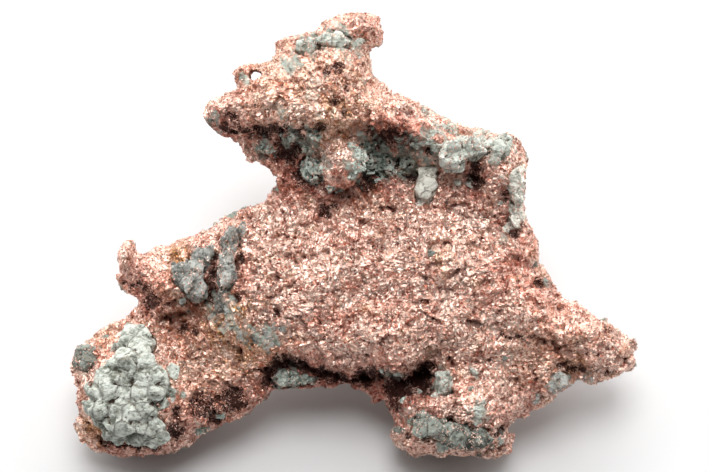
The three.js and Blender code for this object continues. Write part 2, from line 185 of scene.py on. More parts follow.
# The cuprite patches are partly cuprite and partly painted shade on the undersides and in the shaded places:
# under the brow, the nose and the arm, in the neck, and round the feet.
CUPRITE_AND_SHADE_PATCHES = [
    (-13, -25.6, 3.4, 1), (-8.5, -26, 3.2, 1), (-4.2, -27, 2.6, 1), (-0.6, -28, 2.2, 0.9),
    (3.4, -27.6, 3, 1), (8, -29, 3, 1), (12.6, -27, 2.6, 1), (6.6, -31, 2.6, 0.8), (8.6, -33.4, 2, 0.7),
    (-17, -28.4, 2.6, 0.7), (-21, -30.6, 3.4, 0.55), (-25.6, -32.6, 3.2, 0.5), (-29.6, -34.6, 3, 0.5),
    (-33, -36.6, 2.6, 0.5), (-38, -10.6, 2.4, 0.6), (-35.6, -12, 2.6, 0.5), (-38.6, -13.4, 2, 0.6),
    (-31.6, -17.4, 2.4, 0.4), (-12.6, 15.6, 2.8, 0.9), (-10.6, 12.4, 3, 0.9), (-12, 9.4, 2.6, 0.75),
    (-15.6, 17, 2.6, 0.7), (-19, 18.4, 2.2, 0.7), (-8, 9.6, 2.4, 0.8), (-4, 7.4, 2.4, 0.7),
    (0.4, 7.6, 2.6, 0.7), (3.6, 9.6, 2.4, 0.9), (6.6, 10, 2, 0.6), (4.6, 18.6, 2.6, 0.9), (8, 18, 2.6, 0.9),
    (10.6, 17.6, 1.8, 0.8), (1, 19.2, 1.6, 0.6), (22.4, 11.6, 2.2, 0.8), (22, 8.4, 1.8, 0.6),
    (28, 8.6, 1.4, 0.8), (28.4, 2.4, 1.6, 0.8), (-26, -6, 1.6, 0.8), (-26, -9.6, 1.8, 0.8),
    (-21, -5, 1.2, 0.6), (-21.4, -10.6, 1.4, 0.6), (-24, 19.4, 2.6, 0.8), (-25.4, 22, 1.6, 0.6),
    (-21.4, 25.6, 1.6, 0.5), (14, -33, 1.8, 0.5), (24, -37.6, 2, 0.5), (27.6, -33.4, 2, 0.5),
    (33, -29.6, 2.4, 0.5), (-44, -39, 3, 0.5), (-36.6, -39, 3, 0.6), (-50.4, -30, 2.4, 0.4),
    (41.6, -25.4, 2.2, 0.5), (-4, 28.6, 2.6, 0.4), (-30, -12.6, 2, 0.6), (-28.6, -16.6, 2, 0.4),
    (-40.4, -6.6, 1.8, 0.5), (-14.6, -16.4, 1.6, 0.4), (-5.6, 4.6, 1.8, 0.5), (36.6, -9.6, 1.6, 0.5),
]


def patch_strength(points, patches):
    """How strongly the patches, each u, v, radius and strength, cover each point. Their edges are ragged."""
    along, up = points[:, 0], points[:, 1]
    strength = np.zeros(len(points))
    wobble = 0.25 * np.sin(2.1 * along + 1.3 * up) + 0.15 * np.sin(3.1 * up - 4.7 * along)
    for u, v, radius, amount in patches:
        near = 1 + wobble - np.hypot(along - u, up - v) / (PATCH_FADE * radius)
        strength = np.maximum(strength, amount * np.clip(PATCH_FADE * near, 0, 1))
    return strength


def add_node(tree, kind, links=None, **settings):
    """Adds a node, applies its settings, and links or fills its sockets, given by name or number."""
    node = tree.nodes.new(kind)
    for name, value in settings.items():
        setattr(node, name, value)
    for socket, source in (links or {}).items():
        if isinstance(source, bpy.types.NodeSocket):
            tree.links.new(source, node.inputs[socket])
        else:
            node.inputs[socket].default_value = source
    return node


def maths(tree, operation, *values, **settings):
    """The result of a Math node on up to three values."""
    links = dict(enumerate(values))
    return add_node(tree, "ShaderNodeMath", links, operation=operation, **settings).outputs[0]


def vector_maths(tree, operation, *values):
    """The vector that a Vector Math node makes of one or two others."""
    return add_node(tree, "ShaderNodeVectorMath", dict(enumerate(values)), operation=operation).outputs[0]


def scaled(tree, vector, scale):
    return add_node(tree, "ShaderNodeVectorMath", {0: vector, "Scale": scale}, operation="SCALE").outputs[0]


def ranged(tree, value, low, high, to_low=0, to_high=1, **settings):
    """The value mapped from low..high to to_low..to_high, and held between them."""
    links = {"Value": value, "From Min": low, "From Max": high, "To Min": to_low, "To Max": to_high}
    return add_node(tree, "ShaderNodeMapRange", links, **settings).outputs[0]


def mixed(tree, share, first, second):
    """Two colours, mixed by the share of the second."""
    return add_node(tree, "ShaderNodeMix", {0: share, 6: first, 7: second}, data_type="RGBA").outputs[2]


def noise_texture(tree, place, size, detail, roughness=0.5):
    """A Noise Texture node whose features are the given size in millimetres."""
    links = {"Vector": place, "Scale": 1 / (size * MM), "Detail": detail, "Roughness": roughness}
    return add_node(tree, "ShaderNodeTexNoise", links)


def stored_value(tree, name):
    """A value that is kept on the mesh's points."""
    return add_node(tree, "ShaderNodeAttribute", attribute_name=name).outputs["Fac"]


def new_piece(name, mesh):
    piece = bpy.data.objects.new(name, mesh)
    bpy.context.scene.collection.objects.link(piece)
    return piece


def merged_copy(node_name, piece_name):
    """A copy of a CAD node's triangles with their shared corners joined."""
    shell = bmesh.new()
    shell.from_mesh(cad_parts[node_name].data)
    bmesh.ops.remove_doubles(shell, verts=shell.verts, dist=1e-6)
    mesh = bpy.data.meshes.new(piece_name)
    shell.to_mesh(mesh)
    shell.free()
    return new_piece(piece_name, mesh)


def bake_modifiers(piece):
    """Turns what the piece's modifiers make into its plain mesh."""
    depsgraph = bpy.context.evaluated_depsgraph_get()
    mesh = bpy.data.meshes.new_from_object(piece.evaluated_get(depsgraph), preserve_all_data_layers=True,
                                           depsgraph=depsgraph)
    piece.modifiers.clear()
    piece.data = mesh


def voxel_skin(piece, size):
    """Wraps the piece in one even skin of small faces."""
    remesh = piece.modifiers.new("skin", "REMESH")
    remesh.mode = "VOXEL"
    remesh.voxel_size = size
    bake_modifiers(piece)


def run_tree(piece, tree, sizes):
    """Runs a Geometry Nodes tree on the piece with the named sizes, and keeps the plain mesh it makes."""
    modifier = piece.modifiers.new(tree.name, "NODES")
    modifier.node_group = tree
    for item in tree.interface.items_tree:
        if item.in_out == "INPUT" and item.name in sizes:
            modifier[item.identifier] = sizes[item.name]
    bake_modifiers(piece)


def new_geometry_tree(name, inputs):
    """A Geometry Nodes tree with a Geometry input and output, and the given inputs, name to socket kind."""
    tree = bpy.data.node_groups.new(name, "GeometryNodeTree")
    tree.is_modifier = True
    tree.interface.new_socket("Geometry", in_out="INPUT", socket_type="NodeSocketGeometry")
    for input_name, kind in inputs.items():
        tree.interface.new_socket(input_name, in_out="INPUT", socket_type=kind)
    tree.interface.new_socket("Geometry", in_out="OUTPUT", socket_type="NodeSocketGeometry")
    return tree, add_node(tree, "NodeGroupInput").outputs, add_node(tree, "NodeGroupOutput")


def linear(hex_colour, alpha=1.0):
    """An sRGB hex colour as the linear colour that shaders take."""
    parts = [int(hex_colour[i:i + 2], 16) / 255 for i in (0, 2, 4)]
    return tuple(p / 12.92 if p <= 0.04045 else ((p + 0.055) / 1.055) ** 2.4 for p in parts) + (alpha,)


# The relief of natural metal and rock: the plain faces are softened, broad swells are raised on them, then
# two sizes of broken facets, each tilted its own way and stepped against its neighbours, and last the
# grains.
natural_relief, sizes, out = new_geometry_tree("natural_relief", {
    "Soften Steps": "NodeSocketInt",
    "Swell Size": "NodeSocketFloat", "Swell Height": "NodeSocketFloat",
    "Facet Size": "NodeSocketFloat", "Facet Height": "NodeSocketFloat",
    "Hackle Size": "NodeSocketFloat", "Hackle Height": "NodeSocketFloat",
    "Grain Size": "NodeSocketFloat", "Grain Height": "NodeSocketFloat",
})
place = add_node(natural_relief, "GeometryNodeInputPosition").outputs[0]
blurred = add_node(natural_relief, "GeometryNodeBlurAttribute",
                   {"Value": place, "Iterations": sizes["Soften Steps"]}, data_type="FLOAT_VECTOR").outputs[0]
softened = add_node(natural_relief, "GeometryNodeSetPosition",
                    {"Geometry": sizes["Geometry"], "Position": blurred})
normal = add_node(natural_relief, "GeometryNodeInputNormal").outputs[0]
heights = []
for layer in ("Swell", "Grain"):
    scale = maths(natural_relief, "DIVIDE", 1.0, sizes[layer + " Size"])
    noise = add_node(natural_relief, "ShaderNodeTexNoise", {"Vector": place, "Scale": scale, "Detail": 1.0})
    centred = maths(natural_relief, "SUBTRACT", noise.outputs[0], 0.5)
    heights.append(maths(natural_relief, "MULTIPLY", centred, sizes[layer + " Height"]))
# The facets' edges wander a little, by bending the space that the cells are laid out in.
bend = noise_texture(natural_relief, place, 1.4, detail=1.0)
bend_centred = vector_maths(natural_relief, "SUBTRACT", bend.outputs["Color"], (0.5, 0.5, 0.5))
bend_shift = scaled(natural_relief, bend_centred, 1.2 * MM)
bent = vector_maths(natural_relief, "ADD", place, bend_shift)
for layer in ("Facet", "Hackle"):
    scale = maths(natural_relief, "DIVIDE", 1.0, sizes[layer + " Size"])
    cells = add_node(natural_relief, "ShaderNodeTexVoronoi", {"Vector": bent, "Scale": scale})
    tilt = vector_maths(natural_relief, "SUBTRACT", cells.outputs["Color"], (0.5, 0.5, 0.5))
    from_middle = vector_maths(natural_relief, "SUBTRACT", bent, cells.outputs["Position"])
    lean = add_node(natural_relief, "ShaderNodeVectorMath", {0: tilt, 1: from_middle},
                    operation="DOT_PRODUCT")
    lean_share = maths(natural_relief, "MULTIPLY", lean.outputs["Value"], scale)
    step = add_node(natural_relief, "ShaderNodeSeparateXYZ", {0: tilt})
    stepped = maths(natural_relief, "MULTIPLY_ADD", step.outputs[2], 0.25, lean_share)
    heights.append(maths(natural_relief, "MULTIPLY", stepped, sizes[layer + " Height"]))
height = heights[0]
for other in heights[1:]:
    height = maths(natural_relief, "ADD", height, other)
push = scaled(natural_relief, normal, height)
raised = add_node(natural_relief, "GeometryNodeSetPosition",
                  {"Geometry": softened.outputs[0], "Offset": push})
# How far each point stands above or below its surroundings, near and wide, is kept for the finish, which
# paints shade into the hollows with it.
carried = raised.outputs[0]
for attribute, steps in (("rise_near", 4), ("rise_wide", 24)):
    around = add_node(natural_relief, "GeometryNodeBlurAttribute", {"Value": place, "Iterations": steps},
                      data_type="FLOAT_VECTOR")
    offset = vector_maths(natural_relief, "SUBTRACT", place, around.outputs[0])
    rise = add_node(natural_relief, "ShaderNodeVectorMath", {0: offset, 1: normal}, operation="DOT_PRODUCT")
    in_mm = maths(natural_relief, "MULTIPLY", rise.outputs["Value"], 1 / MM)
    carried = add_node(natural_relief, "GeometryNodeStoreNamedAttribute",
                       {"Geometry": carried, "Name": attribute, "Value": in_mm},
                       data_type="FLOAT", domain="POINT").outputs[0]
natural_relief.links.new(carried, out.inputs[0])

copper = merged_copy("copper_mass", "native_copper_mass")
voxel_skin(copper, COPPER_VOXEL)

# Pits and ledges are pressed in before the relief is raised.
points = face_points(copper.data)
normals = np.empty(len(copper.data.vertices) * 3)
copper.data.vertex_normals.foreach_get("vector", normals)
normals = normals.reshape(-1, 3) @ np.array(to_world)
faces_out = np.clip(2 * normals[:, 2], 0, 1)
sunk = np.zeros(len(points))
across, up = points[:, 0], points[:, 1]
ragged = 0.3 * np.sin(2.3 * across + 1.1 * up) * np.sin(1.7 * up - 2.9 * across)
for u, v, radius, depth in PITS:
    reach = np.hypot(across - u, up - v) / radius + ragged
    sunk = np.maximum(sunk, depth * np.clip(1.25 - reach, 0, 1) ** 0.8)
for u0, v0, u1, v1, width, depth in LEDGES:
    run, fall = u1 - u0, v1 - v0
    length = math.hypot(run, fall)
    along = ((across - u0) * run + (up - v0) * fall) / length
    wander = 0.35 * np.sin(2.1 * across + v0) + 0.25 * np.sin(4.7 * across + u0)
    below = ((across - u0) * fall - (up - v0) * run) / length + wander
    taper = np.clip(1.2 - np.abs(2 * along / length - 1), 0, 0.4) / 0.4
    slope = np.clip(below / 0.4, 0, 1) * np.clip(1 - below / width, 0, 1)
    sunk = np.maximum(sunk, LEDGE_STEEPNESS * depth * taper * slope)
points[:, 2] -= sunk * faces_out
world = (points @ np.array(to_world).T + np.array(FACE_ORIGIN)) * MM
copper.data.vertices.foreach_set("co", world.ravel())


def store(mesh, name, values):
    mesh.attributes.new(name, "FLOAT", "POINT").data.foreach_set("value", np.asarray(values, np.float32))


def keep_above_floor(mesh):
    places = np.empty(len(mesh.vertices) * 3)
    mesh.vertices.foreach_get("co", places)
    places[2::3] = np.maximum(places[2::3], 0)
    mesh.vertices.foreach_set("co", places)


# How deep each point was pressed in is kept for the painted shade in the pits and under the ledges.
store(copper.data, "deep", np.clip(sunk * faces_out / 1.4, 0, 1))
store(copper.data, "face_side", faces_out > 0.05)
run_tree(copper, natural_relief, {
    "Soften Steps": 5,
    "Swell Size": 6 * MM, "Swell Height": 0.9 * MM,
    "Facet Size": 4 * MM, "Facet Height": 1.7 * MM,
    "Hackle Size": 1.4 * MM, "Hackle Height": 0.8 * MM,
    "Grain Size": 0.5 * MM, "Grain Height": 0.4 * MM,
})
thinning = copper.modifiers.new("thinning", "DECIMATE")
thinning.ratio = COPPER_THINNING
bake_modifiers(copper)
keep_above_floor(copper.data)
points = face_points(copper.data)
# The relief has closed the small loop a little, so its hole is opened again.
from_loop = points[:, :2] - np.array(LOOP_HOLE_UV)
loop_reach = np.maximum(np.linalg.norm(from_loop, axis=1), 1e-6)
opening = np.maximum(LOOP_HOLE_RADIUS - loop_reach, 0)
points[:, :2] += from_loop / loop_reach[:, None] * opening[:, None]
world = (points @ np.array(to_world).T + np.array(FACE_ORIGIN)) * MM
copper.data.vertices.foreach_set("co", world.ravel())
face_side = np.clip((points[:, 2] - BARE_BACK_DEPTH) / 4, 0, 1)
for attribute, patches in (("crust", CRUST_PATCHES), ("brown", BROWN_PATCHES), ("red", RED_PATCHES),
                           ("cuprite_and_shade", CUPRITE_AND_SHADE_PATCHES)):
    store(copper.data, attribute, patch_strength(points, patches) * face_side)

# Natural copper, etched clean: a metal of bright salmon-pink grains, each with its own tilt and its own
# painted tone from painted shade to a painted glint, so some glint white and their neighbours go dark.
# Cuprite and painted shade darken the crevices to dark red-brown, and thin rock and tarnish dull it in
# patches.
bright_native_copper = bpy.data.materials.new("bright_native_copper")
bright_native_copper.use_nodes = True
tree = bright_native_copper.node_tree
tree.nodes.clear()
surface = add_node(tree, "ShaderNodeTexCoord").outputs["Object"]
warp = noise_texture(tree, surface, 0.8, detail=2.0)
warp_centred = vector_maths(tree, "SUBTRACT", warp.outputs["Color"], (0.5, 0.5, 0.5))
warp_shift = scaled(tree, warp_centred, 0.7 * MM)
warped = vector_maths(tree, "ADD", surface, warp_shift)
# Each crystal patch of a few millimetres has its own lie, and its grains are drawn out along it.
crystals = add_node(tree, "ShaderNodeTexVoronoi", {"Vector": warped, "Scale": 1 / (2.4 * MM)})
crystal_value = add_node(tree, "ShaderNodeSeparateColor", {0: crystals.outputs["Color"]})
lie = maths(tree, "MULTIPLY", crystal_value.outputs[0], math.pi)
turned = add_node(tree, "ShaderNodeVectorRotate", {"Vector": warped, "Axis": to_world @ Vector((0, 0, 1)),
                                                   "Angle": lie}, rotation_type="AXIS_ANGLE")
drawn_out = vector_maths(tree, "MULTIPLY", turned.outputs[0], (0.45, 1.15, 1.0))
grains = add_node(tree, "ShaderNodeTexVoronoi", {"Vector": drawn_out, "Scale": 1 / (0.3 * MM)})
grain_value = add_node(tree, "ShaderNodeSeparateColor", {0: grains.outputs["Color"]})
# Each grain gets its own tone, from painted shade through bright copper to a painted glint, for the light its
# tilt would catch.
grain_painted_shade_to_glint = add_node(tree, "ShaderNodeValToRGB", {0: grain_value.outputs[0]})
grain_painted_shade_to_glint.color_ramp.elements[0].color = linear(COPPER_SHADE)
grain_painted_shade_to_glint.color_ramp.elements[1].color = linear(COPPER_GLINT)
grain_painted_shade_to_glint.color_ramp.elements.new(0.3).color = linear(COPPER_BRIGHT)
stain = noise_texture(tree, surface, 1.5, detail=4.0, roughness=0.6)
stain_share = ranged(tree, stain.outputs[0], 0.35, 0.6)
# Broad tints: copper red, golden brown, and the marked patches of both.
reddening = noise_texture(tree, surface, 7, detail=5.0, roughness=0.6)
red_cast = ranged(tree, reddening.outputs[0], 0.5, 0.75, 0, 0.6)
red_patch = stored_value(tree, "red")
red_broken = maths(tree, "MULTIPLY", red_patch, stain_share)
red_share = maths(tree, "MAXIMUM", red_cast, red_broken)
reddened = mixed(tree, red_share, grain_painted_shade_to_glint.outputs[0], linear(RED_TARNISH))
browning = noise_texture(tree, warped, 3, detail=5.0, roughness=0.6)
brown_cast = ranged(tree, browning.outputs[0], 0.55, 0.75, 0, 0.5)
brown_patch = stored_value(tree, "brown")
brown_broken = maths(tree, "MULTIPLY", brown_patch, stain_share)
brown_share = maths(tree, "MAXIMUM", brown_cast, brown_broken)
browned = mixed(tree, brown_share, reddened, linear(BROWN_TARNISH))
# Cuprite and painted shade: a red film over the marked patches, partly painted shade; painted shade, dark
# red-brown, in the hollows and the pits; and cuprite, dark, in the fine cracks.
cuprite_and_shade = stored_value(tree, "cuprite_and_shade")
film_and_shade_share = maths(tree, "MULTIPLY", cuprite_and_shade, 0.85)
filmed_and_shaded = mixed(tree, film_and_shade_share, browned, linear(CUPRITE_RED))
rise_near = stored_value(tree, "rise_near")
rise_wide = stored_value(tree, "rise_wide")
# Painted shade in the recesses, by how far each point lies below its surroundings, near and wide.
near_recess = ranged(tree, rise_near, -0.06, -0.28)
wide_recess = ranged(tree, rise_wide, -0.3, -1.1)
recess = maths(tree, "MAXIMUM", near_recess, wide_recess)
# Painted shade in the pits and under the ledges, and in the cuprite patches, which are partly painted shade.
deep = stored_value(tree, "deep")
pit_and_patch_shade = maths(tree, "MULTIPLY_ADD", cuprite_and_shade, 0.6, deep)
pit_and_patch_shade_level = maths(tree, "ADD", pit_and_patch_shade, stain.outputs[0])
pit_and_patch_shade_share = ranged(tree, pit_and_patch_shade_level, 0.95, 1.25, 0, 0.95)
recess_painted_shade = maths(tree, "MULTIPLY", recess, stain_share)
cracks = add_node(tree, "ShaderNodeTexVoronoi", {"Vector": warped, "Scale": 1 / (1.9 * MM)},
                  feature="DISTANCE_TO_EDGE")
crack_line = ranged(tree, cracks.outputs["Distance"], 0.07, 0.02, 0, 0.75)
fine_cracks = add_node(tree, "ShaderNodeTexVoronoi", {"Vector": warped, "Scale": 1 / (0.8 * MM)},
                       feature="DISTANCE_TO_EDGE")
fine_line = ranged(tree, fine_cracks.outputs["Distance"], 0.09, 0.02, 0, 0.6)
any_line = maths(tree, "MAXIMUM", crack_line, fine_line)
crack_share = maths(tree, "MULTIPLY", any_line, stain_share)
hollow_painted_shade = maths(tree, "MAXIMUM", pit_and_patch_shade_share, recess_painted_shade)
dark_share = maths(tree, "MAXIMUM", hollow_painted_shade, crack_share)
painted_shade_and_crack_colour = mixed(tree, pit_and_patch_shade_share, linear(CUPRITE), linear(CUPRITE_SHADE))
stained_and_shaded = mixed(tree, dark_share, filmed_and_shaded, painted_shade_and_crack_colour)
# Rock dust and thin crust, thickest in the marked patches, and scattered over the uncleaned back.
crust = stored_value(tree, "crust")
crust_breaks = noise_texture(tree, warped, 1.1, detail=5.0, roughness=0.65)
on_face = stored_value(tree, "face_side")
back_level = maths(tree, "SUBTRACT", browning.outputs[0], on_face)
back_crust = ranged(tree, back_level, 0.46, 0.6, 0, 0.8)
crust_there = maths(tree, "MAXIMUM", crust, back_crust)
crust_level = maths(tree, "ADD", crust_breaks.outputs[0], crust_there)
crust_share = ranged(tree, crust_level, 1.0, 1.32)
rock_tone = mixed(tree, crust_breaks.outputs[0], linear(DARK_ROCK), linear(PALE_ROCK))
colour = mixed(tree, crust_share, stained_and_shaded, rock_tone)
dull = maths(tree, "MULTIPLY", dark_share, 0.4)
covered = maths(tree, "MAXIMUM", dull, crust_share)
metallic = maths(tree, "SUBTRACT", 1.0, covered)
roughness = ranged(tree, grain_value.outputs[1], 0, 1, 0.34, 0.56)
dulled = add_node(tree, "ShaderNodeMix", {0: covered, 2: roughness, 3: 0.8}, data_type="FLOAT")
tilt = vector_maths(tree, "SUBTRACT", grains.outputs["Color"], (0.5, 0.5, 0.5))
tilt_size = maths(tree, "MULTIPLY", metallic, 0.75)
tilt_sized = scaled(tree, tilt, tilt_size)
facing = add_node(tree, "ShaderNodeNewGeometry").outputs["Normal"]
tilted = vector_maths(tree, "ADD", facing, tilt_sized)
tilted_unit = vector_maths(tree, "NORMALIZE", tilted)
fine = noise_texture(tree, surface, 0.3, detail=2.0)
bump = add_node(tree, "ShaderNodeBump", {"Strength": 0.5, "Distance": 0.08 * MM, "Height": fine.outputs[0],
                                         "Normal": tilted_unit})
shader = add_node(tree, "ShaderNodeBsdfPrincipled", {
    "Base Color": colour, "Metallic": metallic,
    "Roughness": dulled.outputs[0], "Normal": bump.outputs[0],
})
add_node(tree, "ShaderNodeOutputMaterial", {"Surface": shader.outputs[0]})

copper.data.materials.clear()
copper.data.materials.append(bright_native_copper)
copper.data.shade_flat()
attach(copper, "root")
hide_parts("copper_mass")

# ---------------------------------------------------------------- loose copper grains
# Sharp little crystals and torn flakes of copper that stand on the mass all over, and give it its broken
# edge. They are native copper too, grown on the mass, and each catches the light at its own angle.
FACE_GRAINS_PER_M2 = 7.5e6
BACK_GRAINS_PER_M2 = 2.8e6
SMALLEST_GRAIN = 0.11 * MM
LARGEST_GRAIN = 0.28 * MM
# A pit's darkness is painted shade, and a stain's is cuprite and painted shade.
GRAIN_SHADE = 0.5  # the share of a pit's or a stain's darkness that the grains standing in it take
HEAD_LOWEST_V = 7
LEFT_FOOT_END_U = -14
TAIL_START_U = 14

grain_scatter, sizes, out = new_geometry_tree("copper_grain_scatter", {
    "Density": "NodeSocketFloat", "Smallest": "NodeSocketFloat", "Largest": "NodeSocketFloat",
    "Zone": "NodeSocketFloat", "Patchiness": "NodeSocketFloat",
    "Finish": "NodeSocketMaterial",
})
crust = add_node(grain_scatter, "GeometryNodeInputNamedAttribute", {"Name": "crust"},
                 data_type="FLOAT").outputs[0]
bare = ranged(grain_scatter, crust, 0.7, 0.2, 0.25, 1)
patches = add_node(grain_scatter, "ShaderNodeTexNoise", {"Scale": 1 / (2.2 * MM), "Detail": 3.0})
patch_level = maths(grain_scatter, "SUBTRACT", patches.outputs[0], sizes["Patchiness"])
patch_share = ranged(grain_scatter, patch_level, -0.45, -0.37)
kept = maths(grain_scatter, "MULTIPLY", bare, patch_share)
density = add_node(grain_scatter, "ShaderNodeMath", {0: kept, 1: sizes["Density"]}, operation="MULTIPLY")
zone = add_node(grain_scatter, "GeometryNodeInputNamedAttribute", {"Name": "zone"},
                data_type="FLOAT").outputs[0]
chosen = maths(grain_scatter, "COMPARE", zone, sizes["Zone"], 0.1)
seats = add_node(grain_scatter, "GeometryNodeDistributePointsOnFaces", {
    "Mesh": sizes["Geometry"], "Selection": chosen, "Density": density.outputs[0], "Seed": 11,
}, distribute_method="RANDOM")
crystal = add_node(grain_scatter, "GeometryNodeMeshUVSphere", {"Segments": 4, "Rings": 2, "Radius": 1.0})
size = add_node(grain_scatter, "FunctionNodeRandomValue", {2: sizes["Smallest"], 3: sizes["Largest"],
                                                           "Seed": 12}, data_type="FLOAT").outputs[1]
shape = add_node(grain_scatter, "FunctionNodeRandomValue", {0: (1.0, 0.4, 0.3), 1: (2.0, 0.8, 0.6),
                                                            "Seed": 13}, data_type="FLOAT_VECTOR").outputs[0]
scale = scaled(grain_scatter, shape, size)
# The grains lie along the surface, each lying its own way and tipped up a little.
turn = add_node(grain_scatter, "FunctionNodeRandomValue", {0: (-0.7, -0.7, 0), 1: (0.7, 0.7, math.tau),
                                                           "Seed": 14}, data_type="FLOAT_VECTOR").outputs[0]
lying = add_node(grain_scatter, "FunctionNodeRotateRotation", {0: seats.outputs["Rotation"], 1: turn},
                 rotation_space="LOCAL")
instances = add_node(grain_scatter, "GeometryNodeInstanceOnPoints", {
    "Points": seats.outputs[0], "Instance": crystal.outputs[0],
    "Rotation": lying.outputs[0], "Scale": scale,
})
realized = add_node(grain_scatter, "GeometryNodeRealizeInstances", {"Geometry": instances.outputs[0]})
finished = add_node(grain_scatter, "GeometryNodeSetMaterial", {"Geometry": realized.outputs[0],
                                                               "Material": sizes["Finish"]})
grain_scatter.links.new(finished.outputs[0], out.inputs[0])

# The grains are kept in six pieces, by where on the nugget they stand: on the face the head, the left foot,
# the body and the tail, and behind it the left and the right.
GRAIN_ZONES = (
    ("copper_grains_on_head", FACE_GRAINS_PER_M2), ("copper_grains_on_left_foot", FACE_GRAINS_PER_M2),
    ("copper_grains_on_body", FACE_GRAINS_PER_M2), ("copper_grains_on_tail", FACE_GRAINS_PER_M2),
    ("copper_grains_behind_left", BACK_GRAINS_PER_M2), ("copper_grains_behind_right", BACK_GRAINS_PER_M2),
)
on_face = np.empty(len(copper.data.vertices), np.float32)
copper.data.attributes["face_side"].data.foreach_get("value", on_face)
u, v = points[:, 0], points[:, 1]
plate_zone = np.where(u < LEFT_FOOT_END_U, 2, np.where(u < TAIL_START_U, 3, 4))
face_zone = np.where(v > HEAD_LOWEST_V, 1, plate_zone)
point_zone = np.where(on_face > 0.5, face_zone, np.where(u < 0, 5, 6))
first_corners = np.empty(len(copper.data.polygons), int)
copper.data.polygons.foreach_get("loop_start", first_corners)
corner_points = np.empty(len(copper.data.loops), int)
copper.data.loops.foreach_get("vertex_index", corner_points)
zone_layer = copper.data.attributes.new("zone", "FLOAT", "FACE")
zone_layer.data.foreach_set("value", point_zone[corner_points[first_corners]].astype(np.float32))

for zone, (name, density) in enumerate(GRAIN_ZONES, 1):
    piece = new_piece(name, copper.data.copy())
    # The grains stand out of the pits and the cuprite patches, and take only part of the painted shade and
    # cuprite there, so they keep more of their shine than the metal under them.
    for attribute in ("deep", "cuprite_and_shade"):
        shades = np.empty(len(piece.data.vertices), np.float32)
        piece.data.attributes[attribute].data.foreach_get("value", shades)
        piece.data.attributes[attribute].data.foreach_set("value", shades * GRAIN_SHADE)
    run_tree(piece, grain_scatter, {
        "Density": density, "Smallest": SMALLEST_GRAIN, "Largest": LARGEST_GRAIN,
        "Zone": zone, "Patchiness": 0.0, "Finish": bright_native_copper,
    })
    keep_above_floor(piece.data)
    piece.data.shade_flat()
    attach(piece, "root")

# ---------------------------------------------------------------- host rock
# Lumps of the rock that the copper grew in, left in its hollows: crusts and stacks of rounded, cracked
# blocks. Each is held by the metal round it, and its loose blocks, u, v, radius and paleness, lie on the
# copper beside it too.
ROCK_VOXEL = 0.3 * MM
ROCK_SWELLING = 0.1 * MM
BLOCK_CUTS = 16
BLOCK_SPREAD = 1.15  # blocks are made a little larger than their marked radius, so neighbours touch
BLOCK_SINKING = 0.25  # the share of a block's half thickness that is let into the surface
BLOCK_SWING = 0.25  # how far the blocks are turned and tipped from their neighbours, in radians
SEAM_WIDTH = 0.17
SEAM_DARKNESS = 0.95
RAY_START_MM = 60
RUST = "7A6248"

surface_shell = bmesh.new()
surface_shell.from_mesh(copper.data)
for node_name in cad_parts:
    if node_name.startswith("rock_"):
        surface_shell.from_mesh(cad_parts[node_name].data)
nugget_surface = BVHTree.FromBMesh(surface_shell)
surface_shell.free()
flecked_rock = bmesh.new()


def block_shape(chance, radius, flatness, drawn_out):
    """A ball with random flat cuts, as broken rock is, drawn out up the face: its points and triangles."""
    ball = bmesh.new()
    bmesh.ops.create_icosphere(ball, subdivisions=3, radius=1)
    corners = np.array([vert.co for vert in ball.verts])
    faces = [[vert.index for vert in face.verts] for face in ball.faces]
    ball.free()
    for _ in range(BLOCK_CUTS):
        cut = chance.normal(size=3)
        cut /= np.linalg.norm(cut)
        excess = corners @ cut - chance.uniform(0.52, 0.8)
        corners -= np.outer(np.clip(excess, 0, None), cut)
    width, height = chance.uniform(0.9, 1.3, 2)
    corners *= BLOCK_SPREAD * radius * np.array([width / drawn_out, height * drawn_out, flatness])
    swing = chance.uniform(0, math.tau) if drawn_out == 1 else chance.normal(0, BLOCK_SWING)
    turn = Matrix.Rotation(swing, 3, "Z") @ Matrix.Rotation(chance.normal(0, BLOCK_SWING), 3, "X")
    return corners @ np.array(turn), faces


def laid_blocks(mesh, blocks, seed, side, flatness, drawn_out):
    """Adds the blocks to the mesh, each let a little into the nugget's surface, and half turned to face out
    of it. Gives each block's middle, radius and paleness.
    """
    chance = np.random.default_rng(seed)
    shell = bmesh.new()
    shell.from_mesh(mesh)
    middles = []
    inward = to_world @ Vector((0, 0, -side))
    for u, v, radius, paleness in blocks:
        hit, normal = nugget_surface.ray_cast(world_point(u, v, RAY_START_MM * side), inward)[:2]
        if hit is None:
            continue
        middle = hit + inward * BLOCK_SINKING * radius * flatness * MM
        lie = (-inward).rotation_difference((normal - inward).normalized())
        corners, faces = block_shape(chance, radius, flatness, drawn_out)
        laid = [shell.verts.new(middle + lie @ (to_world @ Vector(corner)) * MM) for corner in corners]
        for face in faces:
            shell.faces.new([laid[index] for index in face])
        middles.append((*middle, radius * MM, paleness))
    shell.to_mesh(mesh)
    shell.free()
    return np.array(middles)


